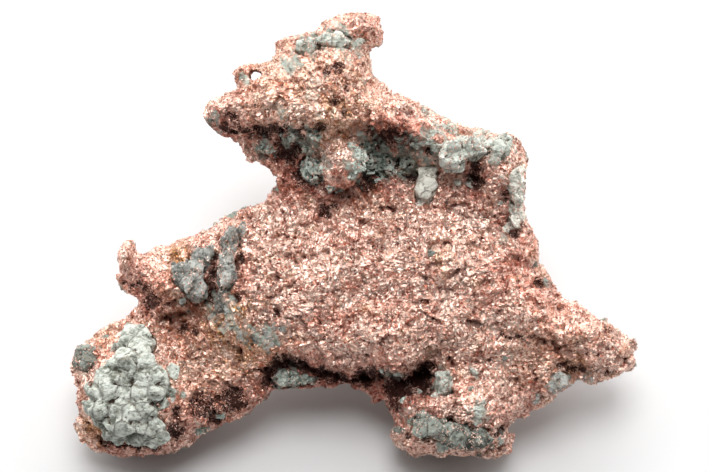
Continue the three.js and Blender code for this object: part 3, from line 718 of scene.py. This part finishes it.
def rock_finish(name, pale, body, crack_and_shade_colour, roughness, fibre_stretch=1.0):
    """A dull rock: each block its own tone from body to pale, dark seams, painted shade in hollows, rusty
    stains.
    """
    material = bpy.data.materials.new(name)
    material.use_nodes = True
    tree = material.node_tree
    tree.nodes.clear()
    surface = add_node(tree, "ShaderNodeTexCoord").outputs["Object"]
    upright = add_node(tree, "ShaderNodeVectorRotate", {"Vector": surface, "Angle": -FACE_LEAN},
                       rotation_type="X_AXIS")
    fibred = vector_maths(tree, "MULTIPLY", upright.outputs[0], (1.0, fibre_stretch, 1.0))
    paleness = stored_value(tree, "paleness")
    mottle = noise_texture(tree, fibred, 1.2, detail=5.0, roughness=0.65)
    mottle_shift = ranged(tree, mottle.outputs[0], 0.3, 0.7, -0.85, 0.85)
    # The tone is paler on the raised parts, where worn, and darker in the hollows, which is painted shade.
    rise_wide = stored_value(tree, "rise_wide")
    worn_pale_and_hollow_shade = maths(tree, "MULTIPLY_ADD", rise_wide, 0.7, mottle_shift)
    tone_share = maths(tree, "ADD", paleness, worn_pale_and_hollow_shade, use_clamp=True)
    toned = mixed(tree, tone_share, linear(body), linear(pale))
    gap = stored_value(tree, "gap")
    # Painted shade, in the crack colour, where the surface lies below its surroundings; the gaps are the dark
    # seams between blocks.
    rise_near = stored_value(tree, "rise_near")
    near_hollow_shade = ranged(tree, rise_near, -0.02, -0.1)
    wide_hollow_shade = ranged(tree, rise_wide, -0.1, -0.45)
    rock_hollow_shade = maths(tree, "MAXIMUM", near_hollow_shade, wide_hollow_shade)
    crack_share = maths(tree, "MAXIMUM", rock_hollow_shade, gap)
    broken = ranged(tree, mottle.outputs[0], 0.35, 0.52)
    crack_and_shade_broken = maths(tree, "MULTIPLY", crack_share, broken)
    cracked_and_shaded = mixed(tree, crack_and_shade_broken, toned, linear(crack_and_shade_colour))
    rust = noise_texture(tree, surface, 1.8, detail=5.0, roughness=0.7)
    rust_share = ranged(tree, rust.outputs[0], 0.56, 0.7, 0, 0.7)
    rusted = mixed(tree, rust_share, cracked_and_shaded, linear(RUST))
    fine = noise_texture(tree, fibred, 0.35, detail=3.0)
    bump = add_node(tree, "ShaderNodeBump", {"Strength": 1.0, "Distance": 0.2 * MM,
                                             "Height": fine.outputs[0]})
    shader = add_node(tree, "ShaderNodeBsdfPrincipled", {
        "Base Color": rusted, "Roughness": roughness,
        "Specular IOR Level": 0.3, "Normal": bump.outputs[0],
    })
    add_node(tree, "ShaderNodeOutputMaterial", {"Surface": shader.outputs[0]})
    return material


def rock_piece(name, node_name, blocks, seed, material, side=1, flatness=0.42,
               drawn_out=1, fibres=0.0, flecked=True):
    """Finishes one lump of rock: its CAD lump, if it has one, and its blocks, in one cracked skin."""
    if node_name:
        piece = merged_copy(node_name, name)
        swell = piece.modifiers.new("swelling", "DISPLACE")
        swell.strength = ROCK_SWELLING
        swell.mid_level = 0
        bake_modifiers(piece)
    else:
        piece = new_piece(name, bpy.data.meshes.new(name))
    middles = laid_blocks(piece.data, blocks, seed, side, flatness, drawn_out)
    voxel_skin(piece, ROCK_VOXEL)
    run_tree(piece, natural_relief, {
        "Soften Steps": 0,
        "Swell Size": 3 * MM, "Swell Height": 0.3 * MM,
        "Facet Size": 2.6 * MM, "Facet Height": 0.4 * MM,
        "Hackle Size": 1 * MM, "Hackle Height": (0.22 + fibres) * MM,
        "Grain Size": 0.4 * MM, "Grain Height": (0.12 + 0.8 * fibres) * MM,
    })
    places = np.empty(len(piece.data.vertices) * 3)
    piece.data.vertices.foreach_get("co", places)
    offsets = places.reshape(-1, 1, 3) - middles[:, :3]
    reach = np.linalg.norm(offsets, axis=2) / middles[:, 3]
    nearest = np.sort(reach, axis=1)[:, :2]
    store(piece.data, "paleness", middles[np.argmin(reach, axis=1), 4])
    seam = np.clip(1 - (nearest[:, 1] - nearest[:, 0]) / SEAM_WIDTH, 0, 1)
    store(piece.data, "gap", seam * SEAM_DARKNESS)
    piece.data.materials.clear()
    piece.data.materials.append(material)
    piece.data.shade_flat()
    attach(piece, "root")
    if node_name:
        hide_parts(node_name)
    if flecked:
        flecked_rock.from_mesh(piece.data)


# Pale sage crust, like prehnite or weathered feldspar: chalky and rounded, nearly white where it stands up
# and olive in the cracks, with painted shade in its hollows.
pale_sage_rock = rock_finish("pale_sage_rock", "CFD3C9", "6E7267", "38291D", 0.8)
pale_grey_rock = rock_finish("pale_grey_rock", "EAE8DC", "8A8B82", "38291D", 0.8)
olive_rock = rock_finish("olive_rock", "93988F", "3A3D37", "261B13", 0.8)
rock_piece("crust_on_left_foot", "rock_crust_left_foot", [
    (-40.6, -17.4, 2.2, 0.6), (-38.6, -18.4, 1.9, 0.7), (-41.6, -19.6, 1.8, 0.5), (-39.2, -20.6, 2.4, 0.8),
    (-41.6, -21.6, 2.2, 0.7), (-43.6, -20.8, 1.2, 0.35), (-43.2, -23.6, 1.8, 0.6), (-40.8, -23.6, 2, 0.55),
    (-38, -23.6, 2.4, 0.8), (-36.6, -25.2, 2.2, 0.75), (-38.3, -26, 2, 1), (-33.5, -24.6, 1.8, 0.6),
    (-41.6, -26, 2, 0.4), (-43, -25.6, 1.3, 0.25), (-44.4, -27.8, 2.4, 0.8), (-42, -28.8, 2.4, 0.9),
    (-46.4, -28.8, 1.8, 0.6), (-48.4, -27.9, 1.4, 0.4), (-38.6, -29, 2.6, 1), (-36.4, -28.6, 2, 0.8),
    (-33.6, -29.2, 1.3, 0.4), (-31.4, -29.2, 1, 0.3), (-47.8, -31, 2.1, 0.45), (-45.4, -31.4, 2.2, 0.5),
    (-43.2, -32, 2.2, 0.7), (-40, -32.2, 2.6, 0.85), (-38.4, -31.2, 2.2, 0.9), (-46.4, -33.4, 1.7, 0.4),
    (-44, -34.2, 1.8, 0.5), (-41.6, -35, 2.3, 0.6), (-40.4, -36.6, 1.8, 0.5), (-38.6, -34, 1.9, 0.8),
    (-36.9, -32.4, 1.5, 0.45), (-36.2, -34.6, 2.2, 0.6), (-35.4, -36.6, 1.9, 0.55),
    (-36.4, -37.8, 1.5, 0.5), (-45.2, -36.6, 1.5, 0.4), (-43, -37.2, 1.3, 0.3), (-34.6, -30.6, 1.2, 0.3),
], 31, pale_sage_rock, flecked=False)
rock_piece("lump_on_left_edge", "rock_lump_left_edge", [
    (-50.6, -21.6, 1.5, 0.8), (-49.4, -20.8, 1.2, 0.7), (-51, -23.6, 1.4, 0.6), (-48, -21, 0.9, 0.6),
], 32, olive_rock)
rock_piece("tongue_below_cleft", "rock_tongue", [
    (14.1, 12.8, 1.3, 0.8), (12.9, 11.7, 1.3, 0.85), (14.3, 11, 1.3, 0.9), (13.9, 9.4, 1.8, 1),
    (12.4, 8.8, 1.3, 0.8), (13.4, 7.6, 1.3, 0.85), (12.4, 6.6, 0.9, 0.7), (12, 5.8, 0.7, 0.6),
    (15, 12.4, 0.7, 0.4), (14.7, 8.2, 0.8, 0.8),
], 33, pale_grey_rock, flecked=False)
rock_piece("crust_on_shoulder", "rock_crust_shoulder", [
    (17.3, 13, 1.9, 0.9), (18.7, 14.2, 1.3, 0.8), (16.5, 15.2, 1.5, 0.75), (14.9, 16.3, 1.2, 0.5),
    (13.1, 17.4, 1.5, 0.4), (14.5, 18.7, 1.3, 0.5), (18.1, 16.4, 1.3, 0.8), (19.2, 17.6, 1.2, 0.75),
    (18, 19.4, 1.3, 0.4), (16.4, 20.1, 0.9, 0.4), (21.3, 17.1, 1.3, 0.6), (23.6, 17.3, 1.3, 0.6),
    (24.3, 18.7, 1.2, 0.5), (26.4, 16.1, 1.5, 0.75), (28, 17.6, 1.5, 0.7), (29.3, 16.8, 1.1, 0.6),
    (25.6, 13.6, 1.3, 0.5), (25.2, 15, 0.9, 0.5), (21.7, 14, 0.7, 0.4), (21, 9.8, 1, 0.5),
    (19, 10, 0.8, 0.35), (22.4, 18.8, 0.9, 0.3), (26.6, 18.2, 1.1, 0.5), (11.2, 17, 1, 0.3),
], 34, pale_sage_rock)
rock_piece("smear_on_cap", "rock_smear_cap", [
    (-8.2, 35.7, 1.3, 0.4), (-9.6, 35, 1, 0.4), (-6.4, 36.2, 0.9, 0.4), (-4.9, 36.3, 1.1, 0.6),
    (-3, 36.6, 1.4, 0.7), (-1.2, 36.7, 1.3, 0.75), (0.6, 35.9, 1.1, 0.7), (-2.2, 35.5, 1, 0.5),
    (-0.5, 34, 0.9, 0.5), (0.8, 32.8, 0.7, 0.4), (-11.4, 31.2, 0.7, 0.4),
], 35, pale_sage_rock, flatness=0.3)
# The toe's stack is sage-grey rock given the darker olive finish, as painted shade for where it lies under
# the brow.
rock_piece("stack_on_toe", "rock_toe", [
    (12.4, -34.8, 1.7, 0.6), (14.8, -34.8, 1.8, 0.76), (17, -35.6, 1.7, 0.6), (14, -37, 1.7, 0.71),
    (16, -38.2, 1.5, 0.8), (18.6, -37, 1.9, 0.4), (20.8, -37.4, 1.9, 0.36), (22.6, -36.6, 1.7, 0.2),
    (21, -38.8, 1.1, 0.31), (12.6, -32.6, 1.4, 0.24), (11.4, -33, 1.2, 0.31), (15.8, -33.6, 1.1, 0.51),
    (26.8, -37.8, 1.2, 0.8), (9, -36.1, 1.2, 0.6), (8, -35.6, 0.9, 0.51), (27.4, -36.6, 0.7, 0.6),
    (25.6, -38.8, 0.7, 0.31), (23, -40.2, 1.1, 0.16), (10.4, -34.6, 1, 0.31),
], 36, olive_rock)
rock_piece("patch_on_middle_foot", "rock_patch_middle_foot", [
    (16.2, -25.4, 1.2, 0.5), (16.5, -27.4, 1.2, 0.6), (15.8, -28.6, 1, 0.6), (14.8, -29.4, 1, 0.6),
    (12, -28.9, 1, 0.3), (22.4, -25.3, 1.1, 0.55), (21.6, -24.6, 0.8, 0.4), (21.4, -28.2, 0.8, 0.4),
    (22.8, -31.2, 1.4, 0.75), (23.6, -30.4, 1, 0.6), (22.6, -33.4, 1.2, 0.65), (22.6, -32.4, 1, 0.7),
], 37, pale_sage_rock, flatness=0.5)
rock_piece("crust_behind_left_foot", "rock_back_left", [
    (-34.4, -15, 2.2, 0.7), (-31.6, -13.6, 2, 0.8), (-29.4, -12.4, 1.8, 0.6), (-36.4, -16.4, 1.5, 0.5),
    (-33, -17.4, 1.4, 0.4), (-30.8, -15.6, 1.4, 0.5), (-32.8, -12, 1.2, 0.6),
], 38, pale_sage_rock, side=-1)
rock_piece("crust_behind_cap", "rock_back_upper", [
    (-12.4, 24, 2.2, 0.8), (-9.8, 25.4, 2, 0.6), (-7.2, 27, 1.9, 0.7), (-13.8, 22.4, 1.4, 0.5),
    (-10.6, 22.8, 1.4, 0.4), (-6, 25.4, 1.3, 0.5), (-9, 27.8, 1.3, 0.6),
], 39, pale_sage_rock, side=-1)
rock_piece("crust_behind_tail", "rock_back_tail", [
    (35, -18.6, 1.8, 0.6), (37.2, -19.4, 1.7, 0.7), (33.4, -18, 1.2, 0.4), (36, -20.6, 1.1, 0.4),
    (38.8, -20.2, 1, 0.5),
], 40, pale_sage_rock, side=-1)
rock_piece("scattered_specks", None, [
    (26.8, 6, 0.8, 0.8), (14, -3.4, 0.8, 0.6), (33.4, -5.4, 0.8, 0.9), (35.6, -8.6, 0.7, 0.8),
    (-36.5, -3.8, 0.7, 0.8), (-26.3, 21.5, 0.8, 0.6), (-20.5, 28.8, 0.7, 0.9), (12.9, 22.8, 0.8, 0.8),
    (27.8, -22.6, 0.8, 0.6), (-12.8, 22.6, 0.7, 0.8), (-45.6, -18.6, 0.7, 0.7),
], 41, olive_rock, flatness=0.35)

# Grey rock in blocks and ribs, a finer and cooler stone than the crust, with dark rusty seams and painted
# shade in its hollows.
cool_grey_rock = rock_finish("cool_grey_rock", "B2B3AD", "5A5C57", "332218", 0.75)
rock_piece("blocks_on_left", "rock_block_left", [
    (-32.1, -6.8, 1.7, 0.45), (-33.2, -5.6, 1, 0.3), (-30.4, -8.4, 1.7, 0.75), (-29, -6.2, 2, 0.8),
    (-30.6, -6, 1.1, 0.6), (-28.2, -9.6, 1.7, 0.6), (-27.2, -3.6, 1.7, 0.55), (-28.6, -2.9, 1.1, 0.5),
    (-27.2, -5.4, 1.1, 0.5), (-29, -11.6, 1.2, 0.4), (-31.6, -11.8, 0.9, 0.3), (-30.7, -13.8, 0.9, 0.7),
    (-26.1, -2.4, 0.9, 0.4),
], 42, cool_grey_rock, drawn_out=1.3)
rock_piece("rib_on_left", "rock_rib_left", [
    (-23, -0.2, 1.2, 0.5), (-24.3, -1.2, 1.1, 0.5), (-22.2, -1.9, 1.1, 0.55), (-20.6, 0.4, 1.1, 0.5),
    (-20.4, 1.8, 0.9, 0.4), (-22.6, -3.6, 1.2, 0.6), (-24.1, -4.2, 1.2, 0.6), (-24.4, -6, 1.2, 0.6),
    (-22.7, -5.4, 1.2, 0.55), (-23.2, -7.6, 1.5, 0.75), (-24.8, -8.6, 1.2, 0.6), (-21.9, -7.6, 1, 0.5),
    (-22.4, -9.2, 1, 0.4), (-24.2, -10.4, 1.1, 0.25), (-24.6, -12.8, 1.2, 0.3), (-23.2, -13.4, 1, 0.35),
    (-26.3, -14.8, 1, 0.45), (-23.2, -16.3, 1.2, 0.9), (-21, -18.2, 1.1, 0.5), (-18.2, -19, 1.1, 0.3),
    (-18.5, -17.4, 0.9, 0.3), (-15.9, -18.2, 1.2, 0.7), (-15.2, -19.4, 1.1, 0.6), (-13.4, -17.2, 0.9, 0.4),
    (-16, -20.6, 0.8, 0.7), (-14.6, -16.4, 0.8, 0.4),
], 43, cool_grey_rock, drawn_out=1.35)
rock_piece("column_on_flank", "rock_column_flank", [
    (29.7, 11.2, 1.4, 0.7), (30.9, 10.2, 1, 0.8), (29.3, 9, 1.3, 0.65), (30.5, 8.4, 1, 0.7),
    (29.9, 6.9, 1.3, 0.7), (29.2, 5.1, 1.3, 0.6), (30.6, 5, 1.2, 0.9), (31, 3.6, 1.2, 0.9),
    (29.8, 2.9, 1.2, 0.7), (27.9, 1.6, 1.1, 0.7), (27.4, -0.8, 0.9, 0.6), (28.5, 5.8, 0.8, 0.5),
    (31.2, 12.4, 0.8, 0.5), (28.6, 10.6, 0.8, 0.9),
], 44, pale_grey_rock, drawn_out=1.15)
rock_piece("grains_below_tail", "rock_grains_right", [
    (36.3, -27.8, 1.1, 0.9), (38.3, -26.6, 1.4, 0.6), (39.6, -25.9, 1, 0.2), (43, -26.3, 1.1, 0.35),
    (44.2, -26.4, 0.8, 0.3), (33.8, -30.2, 1.1, 0.4), (39.4, -27.3, 0.8, 0.4),
], 45, cool_grey_rock)

# The dark vein in the cleft, like chlorite: soft, fibrous and blue-green, with painted shade almost black
# in its hollows where it goes in.
blue_green_vein = rock_finish("blue_green_vein", "D0D8CE", "68766C", "241C15", 0.85, fibre_stretch=0.3)
rock_piece("vein_in_cleft", "rock_vein_cleft", [
    (10.4, 14.2, 2.3, 0.8), (8, 14.6, 1.6, 0.55), (6.4, 14.8, 1.5, 0.5), (4.6, 14.6, 1.7, 0.45),
    (2.8, 14, 1.7, 0.4), (1, 14.4, 1.7, 0.5), (0.4, 12.6, 1.6, 0.6), (-0.6, 11, 1.3, 0.5),
    (3.4, 12.6, 1.4, 0.3), (6.9, 11.9, 1.1, 0.9), (5.2, 11.4, 1.1, 0.5), (8.9, 12.2, 1, 0.5),
    (11.8, 12.8, 1, 0.3), (1.6, 17.2, 1.9, 0.2), (3.1, 16.8, 1.1, 0.2), (-0.6, 16.4, 1, 0.15),
    (9.6, 12.4, 0.9, 0.3), (4.8, 10.4, 0.9, 0.5),
], 46, blue_green_vein, fibres=0.7)
rock_piece("vein_in_neck", "rock_vein_neck", [
    (-6.8, 12.4, 1.6, 0.5), (-7.5, 14.2, 1.3, 0.6), (-8.3, 16.2, 1.6, 0.8), (-7, 18.6, 1.5, 0.2),
    (-5.6, 10.6, 1.3, 0.5), (-4.4, 8.9, 1, 0.4), (-2.5, 8.4, 0.9, 0.6), (-11.4, 18.2, 1.3, 0.3),
    (-9.6, 18, 1.2, 0.3), (-5.6, 12.2, 1.1, 0.4), (-17, 16.6, 1.3, 0.4), (-15.3, 15.7, 1.2, 0.45),
], 47, blue_green_vein, fibres=0.7)
rock_piece("lump_below_brow", "rock_lump_lower_edge", [
    (-13.4, -26.8, 1.4, 0.3), (-11, -27.4, 1.3, 0.3), (-9.2, -27, 1, 0.2), (-12, -25.6, 1, 0.2),
    (8.4, -25.7, 1.1, 0.7), (6.6, -25.1, 1, 0.5), (5, -24.6, 0.8, 0.4), (-24.8, -33, 1.1, 0.3),
    (-28.8, -35.8, 1.3, 0.4), (-27.6, -35.4, 1, 0.45), (9, -30.4, 0.9, 0.3),
], 48, blue_green_vein, fibres=0.3)

# Copper grains caught on the rock in patches, where the metal grew between the blocks.
FLECKS_PER_M2 = 4e6
LARGEST_FLECK = 0.26 * MM
FLECK_PATCHINESS = 0.87
caught = bpy.data.meshes.new("copper_flecks_on_rock")
flecked_rock.to_mesh(caught)
flecked_rock.free()
flecks = new_piece("copper_flecks_on_rock", caught)
run_tree(flecks, grain_scatter, {
    "Density": FLECKS_PER_M2, "Smallest": SMALLEST_GRAIN, "Largest": LARGEST_FLECK,
    "Zone": 0.0, "Patchiness": FLECK_PATCHINESS, "Finish": bright_native_copper,
})
flecks.data.shade_flat()
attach(flecks, "root")

# ---------------------------------------------------------------- floor and light
# A plain pale table under two large soft lights, one behind the nugget and one over it, as for a specimen.
# Only the camera sees the bright surround; the nugget itself reflects a room that is dim in front.
FLOOR_SIZE = 6.0
TABLE_WHITE = "D2D2D2"

floor_mesh = bpy.data.meshes.new("floor")
half = FLOOR_SIZE / 2
floor_mesh.from_pydata([(-half, -half, 0), (half, -half, 0), (half, half, 0), (-half, half, 0)], [],
                       [(0, 1, 2, 3)])
floor = new_piece("floor", floor_mesh)
white_table = bpy.data.materials.new("white_table")
white_table.use_nodes = True
table_shader = white_table.node_tree.nodes["Principled BSDF"]
table_shader.inputs["Base Color"].default_value = linear(TABLE_WHITE)
table_shader.inputs["Roughness"].default_value = 0.9
floor_mesh.materials.append(white_table)


def soft_light(name, place, size, power):
    data = bpy.data.lights.new(name, "AREA")
    data.shape = "DISK"
    data.size = size
    data.energy = power
    light = bpy.data.objects.new(name, data)
    light.location = place
    light.rotation_euler = (-Vector(place)).to_track_quat("-Z", "Y").to_euler()
    bpy.context.scene.collection.objects.link(light)


soft_light("back_softbox", (-0.1, 0.7, 0.6), 0.8, 1.85)
soft_light("top_softbox", (0.0, 0.08, 1.0), 0.6, 7.0)

# The room is bright behind and at the sides, down to the floor, and dim in front; the camera sees it plain
# white.
world = bpy.data.worlds.new("studio")
world.use_nodes = True
bpy.context.scene.world = world
tree = world.node_tree
tree.nodes.clear()
direction = add_node(tree, "ShaderNodeTexCoord").outputs["Generated"]
ways = add_node(tree, "ShaderNodeSeparateXYZ", {0: direction})
behind = ranged(tree, ways.outputs[1], -0.4, 0.45, 0.08, 2.1, interpolation_type="SMOOTHSTEP")
low_down = ranged(tree, ways.outputs[2], 0, 1, 1.2, 0.7)
room = maths(tree, "MULTIPLY", behind, low_down)
seen = add_node(tree, "ShaderNodeLightPath").outputs["Is Camera Ray"]
strength = add_node(tree, "ShaderNodeMix", {0: seen, 2: room, 3: 1.0}, data_type="FLOAT")
background = add_node(tree, "ShaderNodeBackground", {"Color": (1, 1, 1, 1), "Strength": strength.outputs[0]})
add_node(tree, "ShaderNodeOutputWorld", {"Surface": background.outputs[0]})
bpy.context.scene.view_settings.view_transform = "Standard"
